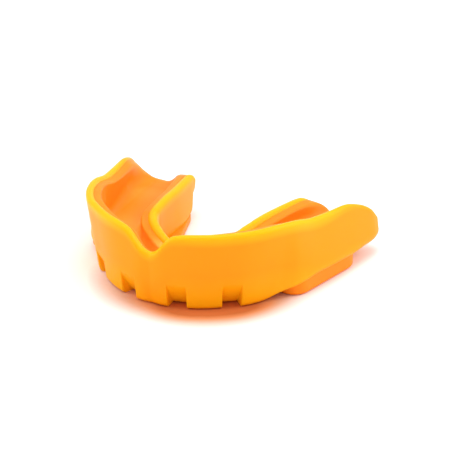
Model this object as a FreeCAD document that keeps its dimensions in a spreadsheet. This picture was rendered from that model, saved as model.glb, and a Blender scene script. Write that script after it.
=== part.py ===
import FreeCAD, Part
import math
import os
import Sketcher

# Mouthguard: a yellow tray, an orange fitting liner inside its trough and two bite pads under it.
# Frame: +Z up, the front faces -Y, the guard is symmetric about X = 0, and it stands on Z = 0.

DIMENSIONS = [
    # Plan of the arch along the foot of the outer wall: front arc, corner arc, straight leg.
    ("apex_y", -22.7, "front of the arch curve"),
    ("front_radius", 25.2, "radius of the front arc"),
    ("front_turn", 41.8, "turn of the front arc, degrees"),
    ("corner_radius", 21.6, "radius of the canine arc"),
    ("leg_splay", 13.2, "angle of the leg from Y, degrees"),
    # Wall rims and corners of the tray.
    ("tray_rim_out", 0.9, "half thickness of the outer wall"),
    ("tray_rim_in", 1.25, "half thickness of the lingual wall"),
    ("tray_edge", 1.2, "radius of the outer lower edge"),
    ("tray_heel", 1.5, "radius of the lingual lower edge"),
    ("tray_crease", 0.6, "radius between wall and floor"),
    # Liner, which is drawn a little into the tray and then cut by it.
    ("liner_rim_out", 0.9, "half thickness of the liner's outer wall"),
    ("liner_rim_in", 0.8, "half thickness of the liner's lingual wall"),
    ("liner_shift_out", 1.5, "liner wall middle inside the tray wall middle"),
    ("liner_shift_in", 1.75, "the same on the lingual side"),
    ("liner_bite", 0.3, "overlap that the tray cuts away"),
    ("liner_crease", 0.5, "radius between wall and floor"),
    ("liner_under", 0.3, "radius of the liner's hidden lower edges"),
    ("liner_tilt", 0.0, "slope of the liner's underside, degrees"),
    # Vent slots in the lower edge of the outer wall.
    ("slot_near", 5.75, "arc position of the pair beside the midline"),
    ("slot_far", 17.25, "arc position of the outer pair"),
    ("slot_width", 4.0, "width of a slot"),
    ("slot_depth", 2.2, "depth of a slot at the lower edge"),
    ("slot_height", 5.3, "height where a slot fades out"),
    ("foot_offset", 1.3, "outer wall foot outside the arch curve at the front"),
    # Bite pads under the molars.
    ("pad_start", 30.0, "arc position of the front end"),
    ("pad_end", 53.3, "arc position of the rear end"),
    ("pad_out", 4.2, "outer side from the arch curve"),
    ("pad_in_front", 14.0, "lingual side from the arch curve at the front end"),
    ("pad_in_rear", 15.1, "the same at the rear end"),
    ("pad_top", 4.2, "height of the pad before the tray cuts it"),
    ("pad_corner", 4.0, "corner radius in plan"),
    ("pad_edge", 0.8, "radius of the lower edge"),
    ("trim_depth", 2.0, "material under the standing plane that is cut off"),
    ("trim_side", 140.0, "side of the square that cuts it"),
]

# Cross-sections from the midline to the rear end of one arm: along the arch curve, extra turn of the
# section, underside at the lingual edge, its slope up to the outer edge, tray floor, outer rim height,
# outer rim middle, outer wall flare, lingual rim height, lingual rim middle, lingual wall flare, liner
# floor thickness, liner rim below the tray rim.
SECTION_FIELDS = ("along", "fan", "base", "tilt", "floor", "rim_out", "mid_out", "flare", "rim_in",
                  "mid_in", "flare_in", "liner_floor", "liner_step")
SECTIONS = [
    (0.0, 0.0, -0.4, 0.0, 2.6, 12.7, 1.4, 5.0, 8.0, 11.5, 3.0, 1.9, 1.2),
    (1.3, 0.0, -0.4, 0.0, 2.6, 13.2, 1.6, 5.0, 8.1, 11.5, 3.0, 1.9, 1.2),
    (2.6, 0.0, -0.4, 0.0, 2.6, 14.6, 1.8, 5.0, 8.3, 11.5, 3.0, 1.9, 1.2),
    (4.0, 0.0, -0.4, 0.0, 2.6, 16.4, 1.9, 5.0, 8.6, 11.5, 3.0, 1.9, 1.2),
    (5.4, 0.0, -0.4, 0.0, 2.6, 17.5, 1.9, 5.0, 8.9, 11.6, 3.0, 1.9, 1.2),
    (9.5, 0.0, -0.4, 0.0, 2.6, 18.2, 2.0, 5.0, 9.8, 11.7, 3.0, 1.9, 1.2),
    (15.0, 0.0, -0.4, 0.0, 2.6, 18.3, 1.9, 5.0, 10.7, 11.9, 2.5, 1.9, 1.2),
    (20.0, 0.0, -0.3, 0.0, 2.7, 18.5, 2.2, 6.0, 11.2, 12.0, 2.0, 1.9, 1.2),
    (24.0, 0.0, 0.1, 0.0, 3.0, 18.5, 2.1, 6.5, 11.4, 12.1, 1.0, 1.7, 1.2),
    (28.0, 0.0, 1.3, 0.5, 4.4, 18.3, 1.9, 3.5, 11.6, 12.1, 0.0, 1.4, 1.2),
    (32.0, 0.0, 2.0, 3.0, 5.4, 17.7, 1.8, -5.5, 11.9, 12.2, -1.0, 1.3, 1.2),
    (38.0, 0.0, 2.1, 6.0, 5.8, 16.2, 1.6, -11.0, 12.1, 12.7, -3.0, 1.2, 1.2),
    (44.0, 0.0, 2.1, 5.5, 5.8, 15.6, 1.6, -12.0, 11.8, 13.3, -4.0, 1.2, 1.0),
    (50.0, 0.0, 2.1, 4.5, 5.8, 15.2, 1.5, -12.0, 11.5, 13.6, -4.0, 1.2, 0.8),
    (55.0, 6.0, 4.1, -3.5, 5.8, 13.6, 1.7, -11.5, 11.2, 13.8, -3.5, 1.2, 0.5),
    (58.6, 12.0, 4.3, -5.0, 5.8, 11.4, 2.0, -11.0, 10.3, 14.0, -3.0, 1.1, 0.4),
    (60.4, 16.0, 4.4, -5.0, 5.8, 9.3, 2.1, -9.0, 9.5, 13.8, -2.0, 1.1, 0.3),
    (61.6, 18.5, 4.5, -3.5, 5.8, 8.2, 1.9, -6.0, 8.7, 13.5, -1.0, 1.0, 0.25),
]


def build_sheet(doc):
    sheet = doc.addObject("Spreadsheet::Sheet", "Dims")
    rows = [(name, value, note) for name, value, note in DIMENSIONS]
    for index, section in enumerate(SECTIONS):
        for field, value in zip(SECTION_FIELDS, section):
            rows.append((f"{field}_{index}", value, "cross-section"))
    for row, (name, value, note) in enumerate(rows, start=1):
        sheet.set(f"A{row}", note)
        sheet.set(f"B{row}", str(value))
        sheet.setAlias(f"B{row}", name)
    doc.recompute()
    return sheet


def origin_plane(body, role):
    return [item for item in body.Origin.OriginFeatures if item.Role == role][0]


def arch_point(sheet, along):
    """Point of the arch curve on the +X side and the turn of its outward normal from -Y, in degrees."""
    front = sheet.front_radius
    corner = sheet.corner_radius
    front_turn = math.radians(sheet.front_turn)
    leg_turn = math.radians(90.0 - sheet.leg_splay)
    front_length = front * front_turn
    corner_length = corner * (leg_turn - front_turn)
    turn = min(along, front_length) / front
    x = front * math.sin(turn)
    y = front * (1.0 - math.cos(turn))
    if along > front_length:
        start = turn
        turn += min(along - front_length, corner_length) / corner
        x += corner * (math.sin(turn) - math.sin(start))
        y += corner * (math.cos(start) - math.cos(turn))
    straight = max(0.0, along - front_length - corner_length)
    x += straight * math.cos(turn)
    y += straight * math.sin(turn)
    return x, y + sheet.apex_y, math.degrees(turn)


def section_offset(sheet, side, along, fan):
    """Offset from the XZ plane to a section: local x points out of the arch and local y up."""
    x, y, turn = arch_point(sheet, along)
    angle = side * (turn + fan) - 90.0
    spin = FreeCAD.Rotation(FreeCAD.Vector(0, 1, 0), angle)
    return FreeCAD.Placement(FreeCAD.Vector(side * x, 0, -y), spin)


def new_sketch(body, name, role, offset):
    sketch = body.newObject("Sketcher::SketchObject", name)
    sketch.AttachmentSupport = [(origin_plane(body, role), "")]
    sketch.MapMode = "FlatFace"
    sketch.AttachmentOffset = offset
    return sketch


def vec(x, y):
    return FreeCAD.Vector(x, y, 0)


def meet(line_a, line_b):
    (point_a, way_a), (point_b, way_b) = line_a, line_b
    gap = point_b - point_a
    cross = way_a.x * way_b.y - way_a.y * way_b.x
    return point_a + way_a * ((gap.x * way_b.y - gap.y * way_b.x) / cross)


def fillet(line_a, line_b, radius, bend):
    """Centre and tangent points of the arc between two lines; bend is 1 to the left, -1 to the right."""
    shifted = []
    for point, way in (line_a, line_b):
        left = vec(-way.y, way.x) * bend
        shifted.append((point + left * radius, way))
    centre = meet(*shifted)
    touch = [centre - vec(-way.y, way.x) * bend * radius for point, way in (line_a, line_b)]
    return centre, touch[0], touch[1], bend


def section_values(sheet, index, layer):
    """Numbers and formulas of one section of the tray or of the liner blank."""
    def cell(name):
        return getattr(sheet, name)
    k = index
    if layer == "tray":
        text = {
            "base": f"Dims.base_{k}",
            "tilt": f"Dims.tilt_{k}",
            "floor": f"Dims.floor_{k}",
            "radius_out": "Dims.tray_rim_out",
            "radius_in": "Dims.tray_rim_in",
            "edge": "Dims.tray_edge",
            "heel": "Dims.tray_heel",
            "crease": "Dims.tray_crease",
            "out_x": f"Dims.mid_out_{k}",
            "out_y": f"Dims.rim_out_{k} - Dims.tray_rim_out",
            "in_x": f"Dims.mid_in_{k}",
            "in_y": f"Dims.rim_in_{k} - Dims.tray_rim_in",
        }
        number = {
            "base": cell(f"base_{k}"),
            "tilt": cell(f"tilt_{k}"),
            "floor": cell(f"floor_{k}"),
            "radius_out": sheet.tray_rim_out,
            "radius_in": sheet.tray_rim_in,
            "edge": sheet.tray_edge,
            "heel": sheet.tray_heel,
            "crease": sheet.tray_crease,
            "out_x": cell(f"mid_out_{k}"),
            "out_y": cell(f"rim_out_{k}") - sheet.tray_rim_out,
            "in_x": cell(f"mid_in_{k}"),
            "in_y": cell(f"rim_in_{k}") - sheet.tray_rim_in,
        }
    else:
        text = {
            "base": f"Dims.floor_{k} - Dims.liner_bite",
            "tilt": "Dims.liner_tilt",
            "floor": f"Dims.floor_{k} + Dims.liner_floor_{k}",
            "radius_out": "Dims.liner_rim_out",
            "radius_in": "Dims.liner_rim_in",
            "edge": "Dims.liner_under",
            "heel": "Dims.liner_under",
            "crease": "Dims.liner_crease",
            "out_x": f"Dims.mid_out_{k} - Dims.liner_shift_out",
            "out_y": f"Dims.rim_out_{k} - Dims.liner_step_{k} - Dims.liner_rim_out",
            "in_x": f"Dims.mid_in_{k} - Dims.liner_shift_in",
            "in_y": f"Dims.rim_in_{k} - Dims.liner_step_{k} - Dims.liner_rim_in",
        }
        number = {
            "base": cell(f"floor_{k}") - sheet.liner_bite,
            "tilt": sheet.liner_tilt,
            "floor": cell(f"floor_{k}") + cell(f"liner_floor_{k}"),
            "radius_out": sheet.liner_rim_out,
            "radius_in": sheet.liner_rim_in,
            "edge": sheet.liner_under,
            "heel": sheet.liner_under,
            "crease": sheet.liner_crease,
            "out_x": cell(f"mid_out_{k}") - sheet.liner_shift_out,
            "out_y": cell(f"rim_out_{k}") - cell(f"liner_step_{k}") - sheet.liner_rim_out,
            "in_x": cell(f"mid_in_{k}") - sheet.liner_shift_in,
            "in_y": cell(f"rim_in_{k}") - cell(f"liner_step_{k}") - sheet.liner_rim_in,
        }
    text["flare"] = f"90 - Dims.flare_{k}"
    number["flare"] = cell(f"flare_{k}")
    text["lingual"] = f"90 + Dims.flare_in_{k}"
    number["lingual"] = cell(f"flare_in_{k}")
    return number, text


def section_outline(number):
    """The U-shaped outline as six lines and six arcs, run with the material on the left."""
    flare = math.radians(number["flare"])
    lingual = math.radians(number["lingual"])
    up_out = vec(math.sin(flare), math.cos(flare))
    up_in = vec(-math.sin(lingual), math.cos(lingual))
    side_out = vec(up_out.y, -up_out.x) * number["radius_out"]
    side_in = vec(-up_in.y, up_in.x) * number["radius_in"]
    centre_out = vec(number["out_x"], number["out_y"])
    centre_in = vec(-number["in_x"], number["in_y"])
    tilt = math.radians(number["tilt"])
    under = (vec(-number["in_x"], number["base"]), vec(math.cos(tilt), math.sin(tilt)))
    outer = (centre_out + side_out, up_out)
    inner = (centre_out - side_out, up_out * -1)
    floor = (vec(0, number["floor"]), vec(-1, 0))
    trough = (centre_in - side_in, up_in)
    lingual_face = (centre_in + side_in, up_in * -1)
    arcs = [
        fillet(under, outer, number["edge"], 1),
        (centre_out, centre_out + side_out, centre_out - side_out, 1),
        fillet(inner, floor, number["crease"], -1),
        fillet(floor, trough, number["crease"], -1),
        (centre_in, centre_in - side_in, centre_in + side_in, 1),
        fillet(lingual_face, under, number["heel"], 1),
    ]
    return arcs


def add_arc(sketch, centre, start, end, bend):
    """An arc, with the positions of its first and last point in the order of the outline."""
    first, last = (start, end) if bend > 0 else (end, start)
    radius = (start - centre).Length
    angle_a = math.atan2(first.y - centre.y, first.x - centre.x)
    angle_b = math.atan2(last.y - centre.y, last.x - centre.x)
    if angle_b <= angle_a:
        angle_b += 2 * math.pi
    circle = Part.Circle(centre, FreeCAD.Vector(0, 0, 1), radius)
    index = sketch.addGeometry(Part.ArcOfCircle(circle, angle_a, angle_b), False)
    return (index, 1, 2) if bend > 0 else (index, 2, 1)


def draw_section(sketch, number, text):
    """Draws the outline and binds its sizes. Lines: underside, outer, inner, floor, trough, lingual."""
    arcs = section_outline(number)
    lines = []
    rounds = []
    for place, arc in enumerate(arcs):
        before = arcs[place - 1]
        lines.append(sketch.addGeometry(Part.LineSegment(before[2], arc[1]), False))
        rounds.append(add_arc(sketch, *arc))
    constraints = []
    for place, (arc, first, last) in enumerate(rounds):
        following = lines[(place + 1) % len(lines)]
        constraints.append(Sketcher.Constraint("Tangent", lines[place], 2, arc, first))
        constraints.append(Sketcher.Constraint("Tangent", arc, last, following, 1))
    under, outer, inner, floor, trough, lingual_face = lines
    edge, rim_out, crease_out, crease_in, rim_in, heel = [entry[0] for entry in rounds]
    constraints.append(Sketcher.Constraint("Horizontal", floor))
    constraints.append(Sketcher.Constraint("Parallel", outer, inner))
    constraints.append(Sketcher.Constraint("Parallel", trough, lingual_face))
    constraints.append(Sketcher.Constraint("Equal", crease_out, crease_in))
    sketch.addConstraint(constraints)
    bound = [
        ("DistanceY", (-1, 1, under, 1), number["base"], "base"),
        ("Angle", (under,), math.radians(number["tilt"]), "tilt"),
        ("DistanceY", (-1, 1, floor, 1), number["floor"], "floor"),
        ("DistanceX", (-1, 1, rim_out, 3), number["out_x"], "out_x"),
        ("DistanceY", (-1, 1, rim_out, 3), number["out_y"], "out_y"),
        ("DistanceX", (rim_in, 3, -1, 1), number["in_x"], "in_x"),
        ("DistanceY", (-1, 1, rim_in, 3), number["in_y"], "in_y"),
        ("Radius", (rim_out,), number["radius_out"], "radius_out"),
        ("Radius", (rim_in,), number["radius_in"], "radius_in"),
        ("Radius", (edge,), number["edge"], "edge"),
        ("Radius", (heel,), number["heel"], "heel"),
        ("Radius", (crease_out,), number["crease"], "crease"),
        ("Angle", (outer,), math.radians(90.0 - number["flare"]), "flare"),
        ("Angle", (trough,), math.radians(90.0 + number["lingual"]), "lingual"),
    ]
    for kind, where, value, name in bound:
        index = sketch.addConstraint(Sketcher.Constraint(kind, *where, value))
        sketch.renameConstraint(index, name)
        sketch.setExpression(f"Constraints.{name}", text[name])


def lofted_arch(doc, sheet, name, layer):
    """A body lofted through every section, from the end of the -X arm to the end of the +X arm."""
    body = doc.addObject("PartDesign::Body", name)
    last = len(SECTIONS) - 1
    stations = [(-1, index) for index in range(last, 0, -1)]
    stations += [(1, index) for index in range(last + 1)]
    sketches = []
    for side, index in stations:
        along = getattr(sheet, f"along_{index}")
        fan = getattr(sheet, f"fan_{index}")
        offset = section_offset(sheet, side, along, fan)
        letter = "L" if side < 0 else "R"
        sketch = new_sketch(body, f"{name}{letter}{index}", "XZ_Plane", offset)
        draw_section(sketch, *section_values(sheet, index, layer))
        sketches.append(sketch)
    doc.recompute()
    loft = body.newObject("PartDesign::AdditiveLoft", name + "Loft")
    loft.Profile = sketches[0]
    loft.Sections = sketches[1:]
    loft.Ruled = False
    loft.Closed = False
    loft.Refine = False
    doc.recompute()
    return body


def draw_polygon(sketch, corners):
    points = [vec(x, y) for x, y in corners]
    lines = []
    for start, end in zip(points, points[1:] + points[:1]):
        lines.append(sketch.addGeometry(Part.LineSegment(start, end), False))
    for place, line in enumerate(lines):
        following = lines[(place + 1) % len(lines)]
        sketch.addConstraint(Sketcher.Constraint("Coincident", line, 2, following, 1))
    return lines


def bind(sketch, name, kind, where, value, formula):
    index = sketch.addConstraint(Sketcher.Constraint(kind, *where, value))
    sketch.renameConstraint(index, name)
    sketch.setExpression(f"Constraints.{name}", formula)


def pocket(doc, body, sketch, name, length_cell, both_ways):
    before = body.Shape.Volume
    cut = body.newObject("PartDesign::Pocket", name)
    cut.Profile = sketch
    cut.Type = "Length"
    cut.SideType = "Symmetric" if both_ways else "One side"
    cut.Refine = False
    cut.setExpression("Length", f"Dims.{length_cell}")
    doc.recompute()
    if body.Shape.Volume >= before - 1.0:
        raise RuntimeError(f"{name} cuts nothing")


def trim_standing_plane(doc, sheet, body):
    """Cuts the underside of the front flat at Z = 0."""
    sketch = new_sketch(body, "TrimSketch", "XY_Plane", FreeCAD.Placement())
    half = sheet.trim_side / 2
    lines = draw_polygon(sketch, [(-half, -half), (half, -half), (half, half), (-half, half)])
    for line in (lines[0], lines[2]):
        sketch.addConstraint(Sketcher.Constraint("Horizontal", line))
    for line in (lines[1], lines[3]):
        sketch.addConstraint(Sketcher.Constraint("Vertical", line))
    bind(sketch, "width", "DistanceX", (lines[0], 1, lines[0], 2), 2 * half, "Dims.trim_side")
    bind(sketch, "depth", "DistanceY", (lines[1], 1, lines[1], 2), 2 * half, "Dims.trim_side")
    bind(sketch, "left", "DistanceX", (lines[0], 1, -1, 1), half, "Dims.trim_side / 2")
    bind(sketch, "front", "DistanceY", (lines[0], 1, -1, 1), half, "Dims.trim_side / 2")
    pocket(doc, body, sketch, "Trim", "trim_depth", False)


def slot_sketch(sheet, body, name, side, along):
    """Wedge that is deepest at the lower edge and fades out on the wall above it."""
    sketch = new_sketch(body, name, "XZ_Plane", section_offset(sheet, side, along, 0.0))
    foot = sheet.foot_offset
    depth = sheet.slot_depth
    height = sheet.slot_height
    over = 1.0
    outside = foot + 4.0
    slope = (depth + 0.5) / height
    corners = [
        (foot - depth - slope * over, -over),
        (outside, -over),
        (outside, height + over),
        (foot - depth + slope * (height + over), height + over),
    ]
    draw_polygon(sketch, corners)
    for index in range(4):
        sketch.addConstraint(Sketcher.Constraint("Block", index))
    return sketch


def cut_slots(doc, sheet, body):
    for pair, along in (("Near", sheet.slot_near), ("Far", sheet.slot_far)):
        for letter, side in (("L", -1), ("R", 1)):
            sketch = slot_sketch(sheet, body, f"Slot{pair}{letter}Sketch", side, along)
            pocket(doc, body, sketch, f"Slot{pair}{letter}", "slot_width", True)


def edges_named(shape, test):
    return [f"Edge{number}" for number, edge in enumerate(shape.Edges, start=1) if test(edge)]


def is_upright(edge):
    box = edge.BoundBox
    return box.ZLength > 1.0 and box.XLength < 0.01 and box.YLength < 0.01


def is_low(edge):
    return edge.BoundBox.ZMax < 0.01


def round_edges(doc, body, name, test, cell):
    base = body.Tip
    feature = body.newObject("PartDesign::Fillet", name)
    feature.Base = (base, edges_named(base.Shape, test))
    feature.setExpression("Radius", f"Dims.{cell}")
    doc.recompute()


def across(side, first, second):
    """The two points of a horizontal distance, in the order that makes it positive."""
    return (*first, *second) if side > 0 else (*second, *first)


def pad_blank(doc, sheet, name, side):
    """Rounded block along the leg, from the standing plane up into the tray floor."""
    body = doc.addObject("PartDesign::Body", name)
    x, y, turn = arch_point(sheet, sheet.pad_start)
    spin = FreeCAD.Rotation(FreeCAD.Vector(0, 0, 1), -side * sheet.leg_splay)
    offset = FreeCAD.Placement(FreeCAD.Vector(side * x, y, 0), spin)
    sketch = new_sketch(body, name + "Sketch", "XY_Plane", offset)
    length = sheet.pad_end - sheet.pad_start
    out = side * sheet.pad_out
    front = -side * sheet.pad_in_front
    rear = -side * sheet.pad_in_rear
    lines = draw_polygon(sketch, [(out, 0), (out, length), (rear, length), (front, 0)])
    sketch.addConstraint(Sketcher.Constraint("Vertical", lines[0]))
    sketch.addConstraint(Sketcher.Constraint("Horizontal", lines[1]))
    sketch.addConstraint(Sketcher.Constraint("Horizontal", lines[3]))
    sketch.addConstraint(Sketcher.Constraint("PointOnObject", lines[0], 1, -1))
    origin = (-1, 1)
    bound = [
        ("length", "DistanceY", (*origin, lines[0], 2), length, "Dims.pad_end - Dims.pad_start"),
        ("outer", "DistanceX", across(side, origin, (lines[0], 1)), abs(out), "Dims.pad_out"),
        ("rear", "DistanceX", across(-side, origin, (lines[2], 1)), abs(rear), "Dims.pad_in_rear"),
        ("front", "DistanceX", across(-side, origin, (lines[3], 1)), abs(front), "Dims.pad_in_front"),
    ]
    for entry in bound:
        bind(sketch, *entry)
    block = body.newObject("PartDesign::Pad", name + "Block")
    block.Profile = sketch
    block.setExpression("Length", "Dims.pad_top")
    doc.recompute()
    round_edges(doc, body, name + "Corners", is_upright, "pad_corner")
    round_edges(doc, body, name + "Edge", is_low, "pad_edge")
    return body


def cut_by_tray(doc, name, blank, tray):
    piece = doc.addObject("Part::Cut", name)
    piece.Base = blank
    piece.Tool = tray
    piece.Refine = False
    doc.recompute()
    return piece


def check(doc, pieces):
    for item in doc.Objects:
        if "Invalid" in item.State or "Error" in item.State:
            raise RuntimeError(f"{item.Name} failed: {item.State}")
    for piece in pieces:
        shape = piece.Shape
        if shape.isNull() or not shape.isValid() or len(shape.Solids) != 1:
            raise RuntimeError(f"{piece.Label} has no single valid solid")
        box = shape.BoundBox
        print(piece.Label, "volume", round(shape.Volume, 1), "box", box)


def main():
    doc = FreeCAD.newDocument("Mouthguard")
    sheet = build_sheet(doc)
    tray = lofted_arch(doc, sheet, "Tray", "tray")
    trim_standing_plane(doc, sheet, tray)
    cut_slots(doc, sheet, tray)
    liner = cut_by_tray(doc, "Liner", lofted_arch(doc, sheet, "LinerBlank", "liner"), tray)
    pad_right = cut_by_tray(doc, "PadRight", pad_blank(doc, sheet, "PadBlankRight", 1), tray)
    pad_left = cut_by_tray(doc, "PadLeft", pad_blank(doc, sheet, "PadBlankLeft", -1), tray)
    labels = {
        "outer_shell": tray,
        "fitting_liner": liner,
        "bite_pad_right": pad_right,
        "bite_pad_left": pad_left,
    }
    for label, piece in labels.items():
        piece.Label = label
        piece.Placement = FreeCAD.Placement()
    doc.recompute()
    check(doc, labels.values())
    os.makedirs("parts", exist_ok=True)
    for label, piece in labels.items():
        piece.Shape.exportStep(f"parts/{label}.step")


main()
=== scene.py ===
import math

import bpy
import numpy as np
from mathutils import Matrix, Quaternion, Vector
from mathutils.geometry import tessellate_polygon


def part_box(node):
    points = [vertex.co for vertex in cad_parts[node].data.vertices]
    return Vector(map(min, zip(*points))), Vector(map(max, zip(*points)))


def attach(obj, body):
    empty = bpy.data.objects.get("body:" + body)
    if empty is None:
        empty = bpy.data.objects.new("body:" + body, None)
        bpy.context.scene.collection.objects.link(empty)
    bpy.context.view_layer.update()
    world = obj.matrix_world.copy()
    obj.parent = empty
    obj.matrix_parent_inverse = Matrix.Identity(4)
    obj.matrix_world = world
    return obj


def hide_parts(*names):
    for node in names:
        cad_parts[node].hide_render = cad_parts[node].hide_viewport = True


# Mouthguard: a yellow tray with an orange liner in its trough and two bite pads under the molars.
# Lengths below are in millimetres in the frame of the CAD model; MM turns them into metres.

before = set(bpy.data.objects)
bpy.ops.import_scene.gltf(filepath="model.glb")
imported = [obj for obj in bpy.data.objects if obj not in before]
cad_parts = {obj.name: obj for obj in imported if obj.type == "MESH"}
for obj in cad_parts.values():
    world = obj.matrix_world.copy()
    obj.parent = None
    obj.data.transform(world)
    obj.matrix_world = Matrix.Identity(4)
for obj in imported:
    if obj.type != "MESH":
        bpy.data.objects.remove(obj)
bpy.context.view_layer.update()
MM = 0.001

# ---------------------------------------------------------------- plan of the arch
FRONT_RADIUS = 25.2
FRONT_TURN = math.radians(41.8)
CORNER_RADIUS = 21.6
LEG_SPLAY = math.radians(13.2)
LEG_TURN = math.radians(90) - LEG_SPLAY
RIM_OVERHANG = 2.45
APEX_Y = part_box("outer_shell")[0].y / MM + RIM_OVERHANG

# ---------------------------------------------------------------- sections along one arm
# Each list gives one measure of the section at the arc positions in ALONG, from the midline to the
# rear end of an arm. "base" is the height of the underside below each wall, "floor" and "liner" are
# the tops of the tray floor and the liner floor, "rim" is the height of each wall, "mid" its distance
# from the arch curve and "lean" its slope in degrees, outward for "out" and lingual for "in". "heel" is
# the radius of the lower lingual edge, and "fan" turns the outer side toward the rear, in degrees.
END = 61.6
ALONG = [0, 1.3, 2.6, 4.0, 5.4, 9.5, 15, 20, 24, 28, 32, 38, 44, 50, 55, 58.6, 60.4, END]
SECTION = {
    "base_out": [0, 0, 0, 0, 0, 0, 0, 0, 0.1, 1.4, 2.8, 3.7, 3.6, 3.3, 3.0, 2.8, 2.9, 3.5],
    "base_in": [0, 0, 0, 0, 0, 0, 0, 0, 0.1, 1.3, 2.0, 2.1, 2.1, 2.4, 5.0, 5.2, 5.2, 5.2],
    "floor": [2.6, 2.6, 2.6, 2.6, 2.6, 2.6, 2.6, 2.7, 3.0, 4.4, 5.4, 5.8, 5.8, 5.8, 5.8, 5.8, 5.8, 5.8],
    "liner": [4.5, 4.5, 4.5, 4.5, 4.5, 4.5, 4.5, 4.6, 5.1, 6.2, 6.9, 7.0, 7.0, 7.0, 7.05, 7.05, 6.95, 6.85],
    "rim_out": [12.7, 13.2, 14.6, 16.4, 17.5, 18.2, 18.3, 18.5, 18.5, 18.3, 17.7, 16.2, 15.6, 15.2, 13.6,
                11.3, 9.1, 7.9],
    "mid_out": [1.4, 1.6, 1.8, 1.9, 1.9, 2.0, 1.9, 2.2, 2.1, 1.9, 1.8, 1.6, 1.6, 1.5, 1.7, 2.0, 2.1, 1.9],
    "lean_out": [5, 5, 5, 5, 5, 5.5, 6.5, 7, 7, 3.5, -5.5, -11, -12, -12, -11.5, -11, -9, -6],
    "rim_in": [8.0, 8.1, 8.3, 8.6, 8.9, 9.8, 10.7, 11.2, 11.4, 11.6, 11.9, 12.1, 11.8, 11.5, 11.2,
               10.4, 9.65, 8.8],
    "mid_in": [11.5, 11.5, 11.5, 11.5, 11.6, 11.7, 11.9, 12.0, 12.1, 12.1, 12.2, 12.7, 13.3, 13.6, 13.8,
               14.2, 14.0, 13.6],
    "lean_in": [3, 3, 3, 3, 3, 3, 2.5, 2, 1, 0, -1, -3, -4, -4, -2, 5, 9, 12],
    "heel": [1.5, 1.5, 1.5, 1.5, 1.5, 1.5, 1.5, 1.5, 1.2, 0.8, 0.5, 0.5, 0.5, 0.9, 2.8, 3.2, 3.4, 3.4],
    "fan": [0, 0, 0, 0, 0, 0, 0, 0, 0, 0, 0, 0, 0, 0, 6, 12, 16, 18.5],
}

# Tray: half thickness of the two walls, the share by which the outer wall's inner half thins out at
# its rear end, and radii of the corners. A range holds the arc positions where a change starts and ends.
HALF_OUT = 0.9
HALF_IN = 1.25
THIN_OUT = 0.7
THIN_RANGE = (44, 58)
EDGE = 1.2
EDGE_REAR = 2.0
EDGE_RANGE = (46, END)
CREASE = 0.6

# Liner: wall thickness beside the tray walls, drop and slope of its ledge below the rim, corner radii,
# the width of the slopes that fill the trough's corners at the rear end, and the overlap with the tray.
LINER_OUT_FRONT = 0.9
LINER_OUT = 1.6
LINER_OUT_REAR = 2.2
LINER_IN = 1.6
LINER_IN_REAR = 2.3
LINER_FRONT_RANGE = (5, 20)
LINER_REAR_RANGE = (46, END)
LEDGE_DROP = 0.75
LEDGE_DROP_END = 0.22
LEDGE_SLOPE = 0.3
LEDGE_SLOPE_REAR = 1.1
LEDGE_SLOPE_END_IN = 0.3
LEDGE_ROUND = 0.5
LEDGE_ROUND_REAR = 1.6
LEDGE_RANGE = (36, 54)
LINER_CREASE = 1.8
LINER_CREASE_REAR = 3.2
LINER_TOE_OUT = 5.1
LINER_TOE_IN = 1.8
TOE_RANGE = (48, END)
BURIED = 0.3

# Rear ends: length of the rounding, its depth on tray and liner, how far the liner stands proud of
# the tray, and the hollow that the rear edge makes across the trough.
END_ROUND = 1.3
END_ROWS = 9
END_INSET_TRAY = 0.7
END_INSET_LINER = 0.4
END_PROUD = 0.12
SCOOP = 0.45
SCOOP_MIDDLE = -6.8
SCOOP_HALF = 4.8
SCOOP_LENGTH = 8.0

# Vent slots in the foot of the outer wall: middles, size, how fast the depth falls off upward, width
# of the soft edge, and how far in the slot reaches under the tray.
SLOTS = (5.75, 17.25)
SLOT_WIDTH = 4.0
SLOT_HEIGHT = 5.8
SLOT_DEPTH = 2.7
SLOT_FALL = 1.25
SLOT_SOFT = 0.16
SLOT_REACH = 5.0

# Rows of points along an arm: spacing, extra rows at the sides of a slot, and the least gap.
ROW_STEP = 0.45
SLOT_ROWS = (-0.3, -0.08, -0.03, 0.03, 0.08, 0.3)
ROW_GAP = 0.025

# Colour: what is added to the depth below the rim, so that the rim's colour gets narrower at the rear
# end of the outer wall and at the notch; on the lingual wall the narrower rim is painted shade for that
# more brightly lit wall, and on the liner the notch term is painted light that lifts the front of the
# trough.
# TRAY_SPLIT parts the two walls.
REAR_FADE = 1.8
REAR_FADE_RANGE = (38, 58)
NOTCH_FADE = 0.7
# Painted light: on the liner this shift carries the front of the trough to its lighter colours.
NOTCH_PAINTED_LIGHT_LINER = 4.5
NOTCH_FADE_RANGE = (2, 12)
# Painted shade: this shift narrows the rim colour on the lingual wall, which is lit more brightly.
LINGUAL_PAINTED_SHADE = 0.6
TRAY_SPLIT = -6.0


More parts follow.
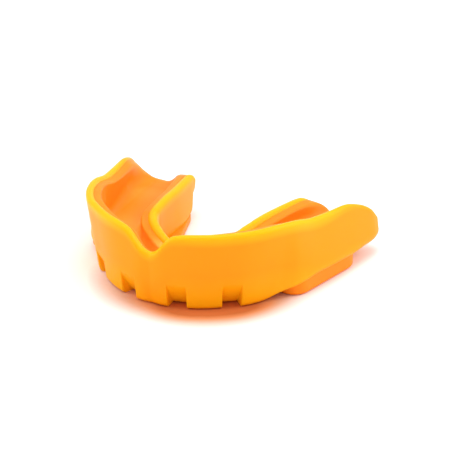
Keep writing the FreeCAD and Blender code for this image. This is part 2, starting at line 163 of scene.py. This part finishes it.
def smooth_table(name):
    """Cubic through the section values, even about the midline: returns a function of |along|."""
    xs = np.array([-a for a in ALONG[:0:-1]] + ALONG, float)
    ys = np.array([float(v) for v in SECTION[name][:0:-1] + SECTION[name]])
    step = np.diff(xs)
    rise = np.diff(ys) / step
    slope = np.zeros(len(xs))
    for k in range(1, len(xs) - 1):
        if rise[k - 1] * rise[k] > 0:
            wa = 2 * step[k] + step[k - 1]
            wb = step[k] + 2 * step[k - 1]
            slope[k] = (wa + wb) / (wa / rise[k - 1] + wb / rise[k])
    slope[0], slope[-1] = rise[0], rise[-1]

    def value(along):
        x = min(abs(along), END)
        k = int(np.clip(np.searchsorted(xs, x) - 1, 0, len(step) - 1))
        u = (x - xs[k]) / step[k]
        h00 = (1 + 2 * u) * (1 - u) ** 2
        h10 = u * (1 - u) ** 2
        h01 = u * u * (3 - 2 * u)
        h11 = u * u * (u - 1)
        return h00 * ys[k] + h10 * step[k] * slope[k] + h01 * ys[k + 1] + h11 * step[k] * slope[k + 1]

    return value


TABLE = {name: smooth_table(name) for name in SECTION}


def fade(value, start, end):
    """0 before start, 1 after end, smooth between."""
    u = min(1.0, max(0.0, (value - start) / (end - start)))
    return u * u * (3 - 2 * u)


def arch_frame(along):
    """Point of the arch curve and the outward and rearward directions there, in plan."""
    side = -1.0 if along < 0 else 1.0
    reach = abs(along)
    front = FRONT_RADIUS * FRONT_TURN
    corner = CORNER_RADIUS * (LEG_TURN - FRONT_TURN)
    turn = min(reach, front) / FRONT_RADIUS
    x = FRONT_RADIUS * math.sin(turn)
    y = FRONT_RADIUS * (1 - math.cos(turn))
    if reach > front:
        start = turn
        turn += min(reach - front, corner) / CORNER_RADIUS
        x += CORNER_RADIUS * (math.sin(turn) - math.sin(start))
        y += CORNER_RADIUS * (math.cos(start) - math.cos(turn))
    straight = max(0.0, reach - front - corner)
    x += straight * math.cos(turn)
    y += straight * math.sin(turn)
    facing = turn + math.radians(TABLE["fan"](along))
    outward = np.array([side * math.sin(facing), -math.cos(facing)])
    rearward = np.array([side * math.cos(facing), math.sin(facing)])
    return np.array([side * x, y + APEX_Y]), outward, rearward


# A round takes less than half of each side that it joins.
ROUND_SHARE = 0.499


def rounded(corners, radii, arc_points, fills):
    """Closed outline with a round at each corner; fills[k] points lie between corners k and k + 1."""
    corners = np.array(corners, float)
    total = len(corners)
    legs = np.roll(corners, -1, axis=0) - corners
    lengths = np.linalg.norm(legs, axis=1)
    ways = legs / lengths[:, None]
    arcs = []
    for k in range(total):
        before, after = ways[k - 1], ways[k]
        cross = before[0] * after[1] - before[1] * after[0]
        turn = math.atan2(cross, float(before @ after))
        half = math.tan(abs(turn) / 2)
        reach = min(radii[k] * half, ROUND_SHARE * lengths[k - 1], ROUND_SHARE * lengths[k])
        bend = 1.0 if turn > 0 else -1.0
        arm = np.array([before[1], -before[0]]) * bend * reach / half
        start = corners[k] - before * reach
        centre = start - arm
        points = []
        for u in np.linspace(0, 1, arc_points):
            c, s = math.cos(turn * u), math.sin(turn * u)
            points.append(centre + np.array([c * arm[0] - s * arm[1], s * arm[0] + c * arm[1]]))
        arcs.append(points)
    outline = []
    for k, points in enumerate(arcs):
        outline.extend(points)
        start, end = points[-1], arcs[(k + 1) % total][0]
        outline.extend(start + (end - start) * u for u in np.linspace(0, 1, fills[k] + 2)[1:-1])
    return np.array(outline)


def shares(flags, arc_points, fills):
    """One weight for each point of a rounded outline, from one flag for each of its sides."""
    weights = []
    for k, flag in enumerate(flags):
        weights.extend(np.linspace(flags[k - 1], flag, arc_points))
        weights.extend([flag] * fills[k])
    return np.array(weights)


def lean(degrees, sign):
    """Direction up a wall: sign is 1 for the outer wall and -1 for the lingual one."""
    angle = math.radians(degrees)
    return np.array([sign * math.sin(angle), math.cos(angle)])


def at_height(point, way, height):
    return point + way * ((height - point[1]) / way[1])


# Points of the two outlines: in each rounded corner and along each side. OPEN is 1 on the sides that
# the rounding of the rear end moves in fully, and less on the sides that face the other piece.
ARC_POINTS = 10
TRAY_FILLS = [24, 0, 14, 14, 12, 0, 14, 14]
TRAY_OPEN = shares([1, 1, 0.3, 0.3, 0.3, 1, 1, 1], ARC_POINTS, TRAY_FILLS)
LINER_FILLS = [4, 5, 18, 18, 14, 5, 4, 10]
LINER_OPEN = shares([0, 1, 1, 1, 1, 1, 0, 0], ARC_POINTS, LINER_FILLS)


def section_at(along):
    """All measures of the section at an arc position, with wall directions and rim middles."""
    values = {name: table(along) for name, table in TABLE.items()}
    values["up_out"] = lean(values["lean_out"], 1)
    values["up_in"] = lean(values["lean_in"], -1)
    values["top_out"] = np.array([values["mid_out"], values["rim_out"]])
    values["top_in"] = np.array([-values["mid_in"], values["rim_in"]])
    values["thin"] = THIN_OUT * fade(abs(along), *THIN_RANGE)
    return values


def tray_profile(along):
    """Outline of the tray section, run with the material on the left."""
    t = section_at(along)
    rear = fade(abs(along), *EDGE_RANGE)
    side_out = np.array([t["up_out"][1], -t["up_out"][0]]) * HALF_OUT
    side_in = np.array([-t["up_in"][1], t["up_in"][0]]) * HALF_IN
    outer, inner = t["top_out"] + side_out, t["top_out"] - side_out * (1 - t["thin"])
    trough, lingual = t["top_in"] - side_in, t["top_in"] + side_in
    corners = [
        at_height(outer, t["up_out"], t["base_out"]),
        outer,
        inner,
        at_height(inner, t["up_out"], t["floor"]),
        at_height(trough, t["up_in"], t["floor"]),
        trough,
        lingual,
        at_height(lingual, t["up_in"], t["base_in"]),
    ]
    edge = EDGE + (EDGE_REAR - EDGE) * rear
    radii = [edge, HALF_OUT, HALF_OUT, CREASE, CREASE, HALF_IN, HALF_IN, t["heel"]]
    points = rounded(corners, radii, ARC_POINTS, TRAY_FILLS)
    open_share = in_slot(along)
    if open_share > 0:
        points = cut_slot(points, open_share)
    return points, t


def liner_profile(along):
    """Outline of the liner section; its hidden sides lie a little inside the tray."""
    t = section_at(along)
    rear = fade(abs(along), *LEDGE_RANGE)
    drop = LEDGE_DROP + (LEDGE_DROP_END - LEDGE_DROP) * rear
    crease = LINER_CREASE + (LINER_CREASE_REAR - LINER_CREASE) * rear
    toe = fade(abs(along), *TOE_RANGE)
    end = fade(abs(along), *LINER_REAR_RANGE)
    wide_out = np.array([t["up_out"][1], -t["up_out"][0]])
    wide_in = np.array([-t["up_in"][1], t["up_in"][0]])
    slope = LEDGE_SLOPE + (LEDGE_SLOPE_REAR - LEDGE_SLOPE) * rear
    slope_in = LEDGE_SLOPE + LEDGE_SLOPE_END_IN * toe
    ledge_round = LEDGE_ROUND + (LEDGE_ROUND_REAR - LEDGE_ROUND) * rear
    round_in = LEDGE_ROUND + (LEDGE_ROUND_REAR - LEDGE_ROUND) * toe
    wall_out = LINER_OUT_FRONT + (LINER_OUT - LINER_OUT_FRONT) * fade(abs(along), *LINER_FRONT_RANGE)
    wall_out += (LINER_OUT_REAR - LINER_OUT) * end
    wall_in = LINER_IN + (LINER_IN_REAR - LINER_IN) * end
    hidden_out = t["top_out"] - wide_out * (HALF_OUT * (1 - t["thin"]) - BURIED) - t["up_out"] * drop
    hidden_in = t["top_in"] - wide_in * (HALF_IN - BURIED) - t["up_in"] * drop
    ledge_out = hidden_out - wide_out * (wall_out + BURIED) - t["up_out"] * slope
    ledge_in = hidden_in - wide_in * (wall_in + BURIED) - t["up_in"] * slope_in
    corners = [
        at_height(hidden_out, t["up_out"], t["floor"] - BURIED),
        hidden_out,
        ledge_out,
        at_height(ledge_out, t["up_out"], t["liner"]) - np.array([LINER_TOE_OUT * toe, 0.0]),
        at_height(ledge_in, t["up_in"], t["liner"]) + np.array([LINER_TOE_IN * toe, 0.0]),
        ledge_in,
        hidden_in,
        at_height(hidden_in, t["up_in"], t["floor"] - BURIED),
    ]
    radii = [BURIED, BURIED / 2, ledge_round, crease, crease, round_in, BURIED / 2, BURIED]
    return rounded(corners, radii, ARC_POINTS, LINER_FILLS), t


def in_slot(along):
    """1 inside a vent slot, 0 outside it, with a short ramp at its sides."""
    gap = min(abs(abs(along) - middle) for middle in SLOTS) - SLOT_WIDTH / 2
    return float(np.clip(0.5 - gap / SLOT_SOFT, 0, 1))


def cut_slot(points, share):
    """Moves the foot of the outer wall inward, most at the bottom and less up the wall."""
    depth = SLOT_DEPTH * np.clip(1 - points[:, 1] / SLOT_HEIGHT, 0, 1) ** SLOT_FALL
    reach = np.clip((points[:, 0] + SLOT_REACH) / SLOT_REACH, 0, 1)
    outside = np.arange(len(points)) < ARC_POINTS + TRAY_FILLS[0]
    under = np.arange(len(points)) >= len(points) - TRAY_FILLS[-1]
    out = points.copy()
    out[:, 0] -= depth * share * np.where(outside, 1.0, np.where(under, reach, 0.0))
    return out


def inward(points, inset):
    """The outline moved into the material by inset, one value or one for each point."""
    way = np.roll(points, -1, axis=0) - np.roll(points, 1, axis=0)
    way /= np.maximum(np.linalg.norm(way, axis=1, keepdims=True), 1e-9)
    return points + np.stack([-way[:, 1], way[:, 0]], 1) * np.broadcast_to(inset, len(points))[:, None]


def stations():
    """Arc positions of the section rows of one arm, with close rows at the sides of the slots."""
    marks = list(np.arange(0, END - END_ROUND, ROW_STEP))
    for middle in SLOTS:
        for side in (-1, 1):
            edge = middle + side * SLOT_WIDTH / 2
            marks += [edge + d for d in SLOT_ROWS]
    marks = sorted(set(round(float(m), 4) for m in marks))
    return [m for k, m in enumerate(marks) if k == 0 or m - marks[k - 1] > ROW_GAP]


def arch_mesh(name, profile, end_inset, exposed, notch_fade_and_light, split=-math.inf, proud=0.0):
    """Sweeps the outline round the arch, rounds both ends and closes them."""
    rows = [(m, 0.0) for m in stations()]
    for u in np.linspace(0, math.pi / 2, END_ROWS):
        rows.append((END + proud - END_ROUND * (1 - math.sin(u)), 1 - math.cos(u)))
    rows = [(-a, i) for a, i in rows[:0:-1]] + rows
    coords, below = [], []
    for along, share in rows:
        points, t = profile(along)
        if share > 0:
            points = inward(points, end_inset * share * exposed)
        origin, outward, rearward = arch_frame(along)
        # On the liner the notch term is painted light; the lingual term on the tray is painted shade.
        fade_and_light = REAR_FADE * fade(abs(along), *REAR_FADE_RANGE)
        fade_and_light += notch_fade_and_light * (1 - fade(abs(along), *NOTCH_FADE_RANGE))
        rim = np.where(points[:, 0] > split, t["rim_out"] + fade_and_light, t["rim_in"] + LINGUAL_PAINTED_SHADE)
        bowl = np.clip(1 - ((points[:, 0] - SCOOP_MIDDLE) / SCOOP_HALF) ** 2, 0, 1)
        scoop = SCOOP * bowl * fade(abs(along), END - SCOOP_LENGTH, END)
        for (offset, height), back, top in zip(points, scoop, rim):
            spot = origin + outward * offset - rearward * back
            coords.append((spot[0] * MM, spot[1] * MM, height * MM))
            below.append(top - height)
    count = len(coords) // len(rows)
    faces = []
    for r in range(len(rows) - 1):
        for k in range(count):
            a = r * count + k
            b = r * count + (k + 1) % count
            faces.append((a, a + count, b + count, b))
    for triangle in tessellate_polygon([[Vector((o, h, 0.0)) for o, h in points]]):
        faces.append(outward_order(triangle, points))
        faces.append(outward_order(triangle, points, len(coords) - count))
    return make_object(name, coords, faces, "below", below)


def outward_order(triangle, points, first=0):
    """A triangle of an end face, wound so that it looks away from the arm; first is its row's start."""
    a, b, c = (points[k] for k in triangle)
    left = (b[0] - a[0]) * (c[1] - a[1]) - (b[1] - a[1]) * (c[0] - a[0]) > 0
    indices = tuple(first + k for k in triangle)
    return indices if left == (first == 0) else indices[::-1]


def make_object(name, coords, faces, attribute, values):
    """Smooth mesh object with one number on each point, for its material to read."""
    mesh = bpy.data.meshes.new(name)
    mesh.from_pydata(coords, [], faces)
    mesh.update()
    layer = mesh.attributes.new(attribute, "FLOAT", "POINT")
    layer.data.foreach_set("value", np.array(values, dtype=np.float32))
    for polygon in mesh.polygons:
        polygon.use_smooth = True
    piece = bpy.data.objects.new(name, mesh)
    bpy.context.scene.collection.objects.link(piece)
    return piece


# ---------------------------------------------------------------- bite pads
# Ends along the arch, sides from the arch curve, radii, draft, and the heights of the sloping top at
# its outer and lingual side. The counts are points of the outline and rows of the edge, side and crown.
PAD_START = 30.0
PAD_END = 53.3
PAD_OUT = 4.2
PAD_IN_FRONT = 16.9
PAD_IN_REAR = 14.9
PAD_CORNER = 4.0
PAD_EDGE = 0.9
PAD_DRAFT = 0.05
PAD_TOP_OUT = 4.9
PAD_TOP_IN = 2.5
PAD_CROWN = 0.3
PAD_ARC_POINTS = 12
PAD_FILLS = [14] * 4
PAD_EDGE_ROWS = 8
PAD_SIDE_ROWS = 10
PAD_CROWN_ROWS = 6


def pad_mesh(name, side):
    """Rounded block along the straight leg, a little narrower upward, with a soft lower edge."""
    origin = arch_frame(side * PAD_START)[0]
    outward = np.array([side * math.cos(LEG_SPLAY), -math.sin(LEG_SPLAY)])
    rearward = np.array([side * math.sin(LEG_SPLAY), math.cos(LEG_SPLAY)])
    length = PAD_END - PAD_START
    corners = [(PAD_OUT, 0), (PAD_OUT, length), (-PAD_IN_REAR, length), (-PAD_IN_FRONT, 0)]
    outline = rounded(corners, [PAD_CORNER] * 4, PAD_ARC_POINTS, PAD_FILLS)
    layers = []
    for u in np.linspace(0, math.pi / 2, PAD_EDGE_ROWS):
        layers.append((PAD_EDGE * (1 - math.sin(u)), PAD_EDGE * (1 - math.cos(u)), 0.0))
    for u in np.linspace(0, 1, PAD_SIDE_ROWS)[1:]:
        layers.append((PAD_DRAFT * u, PAD_EDGE, u))
    for u in np.linspace(0, math.pi / 2, PAD_CROWN_ROWS)[1:]:
        layers.append((PAD_DRAFT + PAD_CROWN * (1 - math.cos(u)), PAD_EDGE + PAD_CROWN * math.sin(u), 1.0))
    coords = []
    for inset, height, share in layers:
        for a, b in inward(outline, inset):
            spot = origin + outward * a + rearward * b
            across = (a + PAD_IN_REAR) / (PAD_OUT + PAD_IN_REAR)
            top = PAD_TOP_IN + (PAD_TOP_OUT - PAD_TOP_IN) * across - PAD_CROWN
            coords.append((spot[0] * MM, spot[1] * MM, (height + share * (top - PAD_EDGE)) * MM))
    count = len(outline)
    faces = [tuple(reversed(range(count))), tuple(range(len(coords) - count, len(coords)))]
    for r in range(len(layers) - 1):
        for k in range(count):
            a = r * count + k
            b = r * count + (k + 1) % count
            faces.append((a, b, b + count, a + count))
    if side < 0:
        faces = [tuple(reversed(face)) for face in faces]
    return make_object(name, coords, faces, "below", [PAD_TOP_OUT - spot[2] / MM for spot in coords])


# ---------------------------------------------------------------- materials
def linear(red, green, blue):
    """Scene colour of a display colour given from 0 to 255."""
    def one(v):
        v /= 255.0
        return v / 12.92 if v <= 0.04045 else ((v + 0.055) / 1.055) ** 2.4
    return (one(red), one(green), one(blue), 1.0)


BODY = linear(255, 152, 6)
# Painted light: the lower body is a lighter orange, to lift the shade that falls near the floor.
BODY_LOW_PAINTED_LIGHT = linear(255, 172, 10)
RIM = linear(255, 183, 6)
LINER = linear(255, 140, 24)
# Painted light: lighter liner colours deep in the trough and at its front, to lift the shade there.
LINER_DEEP_PAINTED_LIGHT = linear(255, 184, 78)
LINER_FRONT_PAINTED_LIGHT = linear(255, 215, 125)
PAD = linear(255, 138, 22)

# Stops of each rubber: mm below the rim, and the colour there.
TRAY_STOPS = [(0.5, RIM), (2.8, BODY), (10.0, BODY), (17.0, BODY_LOW_PAINTED_LIGHT)]
LINER_STOPS = [(1.0, LINER), (8.6, LINER), (12.6, LINER_DEEP_PAINTED_LIGHT), (17.0, LINER_FRONT_PAINTED_LIGHT)]
PAD_STOPS = [(0.5, PAD), (9.0, PAD)]
RAMP_LENGTH = 18.0

TRAY_ROUGHNESS = 0.36
SOFT_ROUGHNESS = 0.42
ROUGHNESS_SPREAD = 0.05

# A slow cloud shifts the stops by up to half of CLOUD_SHIFT either way, in mm. The grain sets the bump
# and the spread of the roughness. GLEAM is the strength of the surface reflection.
CLOUD_SCALE = 60.0
CLOUD_DETAIL = 2.0
CLOUD_SHIFT = 0.8
GRAIN_SCALE = 2600.0
GRAIN_DETAIL = 3.0
GRAIN_STRENGTH = 0.08
GRAIN_DEPTH = 0.0001
GLEAM = 0.12
SOFT_WEIGHT = 0.25
SOFT_RADIUS = (1.0, 0.4, 0.1)
SOFT_SCALE = 0.002


def new_material(name):
    """Node material: returns it with its nodes, links and shader."""
    material = bpy.data.materials.new(name)
    material.use_nodes = True
    tree = material.node_tree
    return material, tree.nodes, tree.links, tree.nodes["Principled BSDF"]


def math_node(nodes, operation, *constants):
    """Math node; constants fill its second and later inputs."""
    node = nodes.new("ShaderNodeMath")
    node.operation = operation
    for k, value in enumerate(constants):
        node.inputs[k + 1].default_value = value
    return node


def noise(nodes, links, coords, scale, detail):
    node = nodes.new("ShaderNodeTexNoise")
    node.inputs["Scale"].default_value = scale
    node.inputs["Detail"].default_value = detail
    links.new(coords.outputs["Object"], node.inputs["Vector"])
    return node


def color_ramp(nodes, stops, length):
    """Linear colour ramp with stops given as distances up to length."""
    ramp = nodes.new("ShaderNodeValToRGB")
    marks = ramp.color_ramp.elements
    while len(marks) < len(stops):
        marks.new(0.5)
    for mark, (distance, color) in zip(marks, stops):
        mark.position = distance / length
        mark.color = color
    return ramp


def rubber(name, stops, roughness):
    """Soft translucent rubber, coloured by the depth below the rim with painted light and shade in some
    stops, with a fine moulded grain.
    """
    material, nodes, links, shader = new_material(name)
    coords = nodes.new("ShaderNodeTexCoord")
    depth = nodes.new("ShaderNodeAttribute")
    depth.attribute_name = "below"
    cloud = noise(nodes, links, coords, CLOUD_SCALE, CLOUD_DETAIL)
    shift = math_node(nodes, "MULTIPLY_ADD", CLOUD_SHIFT, -CLOUD_SHIFT / 2)
    links.new(cloud.outputs["Fac"], shift.inputs[0])
    total = math_node(nodes, "ADD")
    links.new(depth.outputs["Fac"], total.inputs[0])
    links.new(shift.outputs[0], total.inputs[1])
    scale = math_node(nodes, "DIVIDE", RAMP_LENGTH)
    links.new(total.outputs[0], scale.inputs[0])
    ramp = color_ramp(nodes, stops, RAMP_LENGTH)
    links.new(scale.outputs[0], ramp.inputs["Fac"])
    links.new(ramp.outputs["Color"], shader.inputs["Base Color"])
    grain = noise(nodes, links, coords, GRAIN_SCALE, GRAIN_DETAIL)
    rough = nodes.new("ShaderNodeMapRange")
    rough.inputs["To Min"].default_value = roughness - ROUGHNESS_SPREAD
    rough.inputs["To Max"].default_value = roughness + ROUGHNESS_SPREAD
    links.new(grain.outputs["Fac"], rough.inputs["Value"])
    links.new(rough.outputs["Result"], shader.inputs["Roughness"])
    bump = nodes.new("ShaderNodeBump")
    bump.inputs["Strength"].default_value = GRAIN_STRENGTH
    bump.inputs["Distance"].default_value = GRAIN_DEPTH
    links.new(grain.outputs["Fac"], bump.inputs["Height"])
    links.new(bump.outputs["Normal"], shader.inputs["Normal"])
    shader.inputs["Subsurface Weight"].default_value = SOFT_WEIGHT
    shader.inputs["Subsurface Radius"].default_value = SOFT_RADIUS
    shader.inputs["Subsurface Scale"].default_value = SOFT_SCALE
    shader.inputs["Specular IOR Level"].default_value = GLEAM
    return material


# ---------------------------------------------------------------- stage, lights and camera
# The floor is a grid, fine near the object. Its tint is a painted contact shadow, dark orange as if light
# came through the rubber: it depends on the distance from the tray's foot, measured along and across the
# way the painted shadow falls, and the spread list adds to that distance by arc position where the foot
# stands clear of the floor.
FLOOR_NEAR = 81.0
FLOOR_SIDE = 3000.0
FLOOR_STEP = 1.5
FLOOR_ROUGHNESS = 0.9
FOOT_STEP = 1.0
FOOT_OUT = 2.0
FOOT_IN = -12.0
SHADOW_WAY = Vector((0.35, -0.94)).normalized()
SHADOW_ACROSS = 0.45
# Painted shadow: the floor's colour by distance from the foot, dark orange close to it and white further
# off.
PAINTED_SHADOW_STOPS = [
    (0.5, (0.62, 0.17, 0.045, 1.0)),
    (2.8, (0.55, 0.16, 0.045, 1.0)),
    (4.0, (0.70, 0.29, 0.12, 1.0)),
    (5.1, (0.72, 0.44, 0.30, 1.0)),
    (6.3, (0.81, 0.63, 0.55, 1.0)),
    (7.6, (0.88, 0.78, 0.75, 1.0)),
    (10.0, (0.96, 0.96, 0.96, 1.0)),
]
SHADOW_LENGTH = PAINTED_SHADOW_STOPS[-1][0]
SHADOW_SPREAD = [
    (-END, 10.0),
    (-24.0, 9.6),
    (-15.0, 6.2),
    (0.0, 3.5),
    (8.0, 0.5),
    (19.0, 1.5),
    (27.0, 4.2),
    (34.0, 6.3),
    (48.0, 6.6),
    (END, 8.4),
]
WORLD_STRENGTH = 0.82
LIGHT_SIZE = 0.4

# Name, place and aim in metres, and power in watts.
LIGHTS = [
    ("key", (0.0, -0.02, 0.55), (0, 0, 0), 1.1),
    ("left", (-0.5, -0.25, 0.3), (0, 0, 0.01), 1.15),
    ("right", (0.46, 0.25, 0.36), (0, 0, 0.01), 1.6),
]


def tray_foot():
    """Points of the tray's foot on the floor, each with the distance that the spread list adds there to the
    painted shadow.
    """
    feet = []
    for along in np.arange(-END, END, FOOT_STEP):
        origin, outward, _ = arch_frame(along)
        spread = float(np.interp(along, *zip(*SHADOW_SPREAD)))
        for offset in np.arange(FOOT_IN, FOOT_OUT, FOOT_STEP):
            feet.append((*(origin + outward * offset), spread))
    return np.array(feet)


def painted_shadow_distance(x, y, feet):
    """Distance that sets the floor's painted shadow at a point."""
    ahead = (x - feet[:, 0]) * SHADOW_WAY.x + (y - feet[:, 1]) * SHADOW_WAY.y
    across = (x - feet[:, 0]) * SHADOW_WAY.y - (y - feet[:, 1]) * SHADOW_WAY.x
    ahead = np.where(ahead > 0, ahead, ahead / SHADOW_ACROSS)
    away = np.hypot(ahead, across / SHADOW_ACROSS)
    return float(np.min(np.hypot(away, feet[:, 2])))


def make_floor():
    feet = tray_foot()
    near = np.arange(-FLOOR_NEAR, FLOOR_NEAR + FLOOR_STEP / 2, FLOOR_STEP)
    marks = np.concatenate([[-FLOOR_SIDE], near, [FLOOR_SIDE]])
    coords, shadow_distance = [], []
    for y in marks:
        for x in marks:
            coords.append((x * MM, y * MM, 0.0))
            shadow_distance.append(painted_shadow_distance(x, y, feet))
    count = len(marks)
    faces = []
    for row in range(count - 1):
        for k in range(row * count, row * count + count - 1):
            faces.append((k, k + 1, k + count + 1, k + count))
    floor = make_object("floor", coords, faces, "distance", shadow_distance)
    floor.data.materials.append(floor_white_painted_shadow())


def floor_white_painted_shadow():
    """Matt white with a painted orange contact shadow, set by the distance that make_floor stores on its
    points.
    """
    material, nodes, links, shader = new_material("floor_white_painted_shadow")
    away = nodes.new("ShaderNodeAttribute")
    away.attribute_name = "distance"
    scale = math_node(nodes, "DIVIDE", SHADOW_LENGTH)
    links.new(away.outputs["Fac"], scale.inputs[0])
    ramp = color_ramp(nodes, PAINTED_SHADOW_STOPS, SHADOW_LENGTH)
    links.new(scale.outputs[0], ramp.inputs["Fac"])
    links.new(ramp.outputs["Color"], shader.inputs["Base Color"])
    shader.inputs["Roughness"].default_value = FLOOR_ROUGHNESS
    shader.inputs["Specular IOR Level"].default_value = 0.0
    return material


def area_light(name, place, aim, power):
    light = bpy.data.lights.new(name, "AREA")
    light.shape = "DISK"
    light.size = LIGHT_SIZE
    light.energy = power
    item = bpy.data.objects.new(name, light)
    item.location = place
    item.rotation_euler = (Vector(aim) - Vector(place)).to_track_quat("-Z", "Y").to_euler()
    bpy.context.scene.collection.objects.link(item)


def make_lights():
    """Even white surroundings and the soft lights."""
    world = bpy.data.worlds.new("studio")
    world.use_nodes = True
    background = world.node_tree.nodes["Background"]
    background.inputs["Color"].default_value = (1, 1, 1, 1)
    background.inputs["Strength"].default_value = WORLD_STRENGTH
    bpy.context.scene.world = world
    for name, place, aim, power in LIGHTS:
        area_light(name, place, aim, power)


CAMERA_AZIMUTH = math.radians(28.11)
CAMERA_ELEVATION = math.radians(25.08)
CAMERA_ROLL = math.radians(-0.24)
CAMERA_DISTANCE = 0.3021
CAMERA_TARGET = Vector((0.00418, (APEX_Y + 24.94) * MM, 0.009))
SENSOR_WIDTH = 36.0
LENS = 105.648
CLIP_START = 0.01
CLIP_END = 20.0


def make_camera():
    back = Vector((
        math.sin(CAMERA_AZIMUTH) * math.cos(CAMERA_ELEVATION),
        -math.cos(CAMERA_AZIMUTH) * math.cos(CAMERA_ELEVATION),
        math.sin(CAMERA_ELEVATION),
    ))
    data = bpy.data.cameras.new("camera")
    data.sensor_width = SENSOR_WIDTH
    data.lens = LENS
    data.clip_start = CLIP_START
    data.clip_end = CLIP_END
    camera = bpy.data.objects.new("camera", data)
    camera.location = CAMERA_TARGET + back * CAMERA_DISTANCE
    camera.rotation_mode = "QUATERNION"
    camera.rotation_quaternion = (-back).to_track_quat("-Z", "Y") @ Quaternion((0, 0, 1), CAMERA_ROLL)
    bpy.context.scene.collection.objects.link(camera)
    bpy.context.scene.camera = camera


# ---------------------------------------------------------------- the pieces
def finish_piece(piece, node, material):
    piece.data.materials.append(material)
    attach(piece, "root")
    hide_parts(node)


tray_skin = rubber("tray_rubber", TRAY_STOPS, TRAY_ROUGHNESS)
liner_skin = rubber("liner_rubber", LINER_STOPS, SOFT_ROUGHNESS)
pad_skin = rubber("pad_rubber", PAD_STOPS, SOFT_ROUGHNESS)

tray = arch_mesh("tray", tray_profile, END_INSET_TRAY, TRAY_OPEN, NOTCH_FADE, split=TRAY_SPLIT)
liner = arch_mesh("liner", liner_profile, END_INSET_LINER, LINER_OPEN, NOTCH_PAINTED_LIGHT_LINER, proud=END_PROUD)
finish_piece(tray, "outer_shell", tray_skin)
finish_piece(liner, "fitting_liner", liner_skin)
finish_piece(pad_mesh("pad_right", 1), "bite_pad_right", pad_skin)
finish_piece(pad_mesh("pad_left", -1), "bite_pad_left", pad_skin)
make_floor()
make_lights()
make_camera()
bpy.context.scene.view_settings.view_transform = "Standard"
bpy.context.scene.view_settings.look = "None"
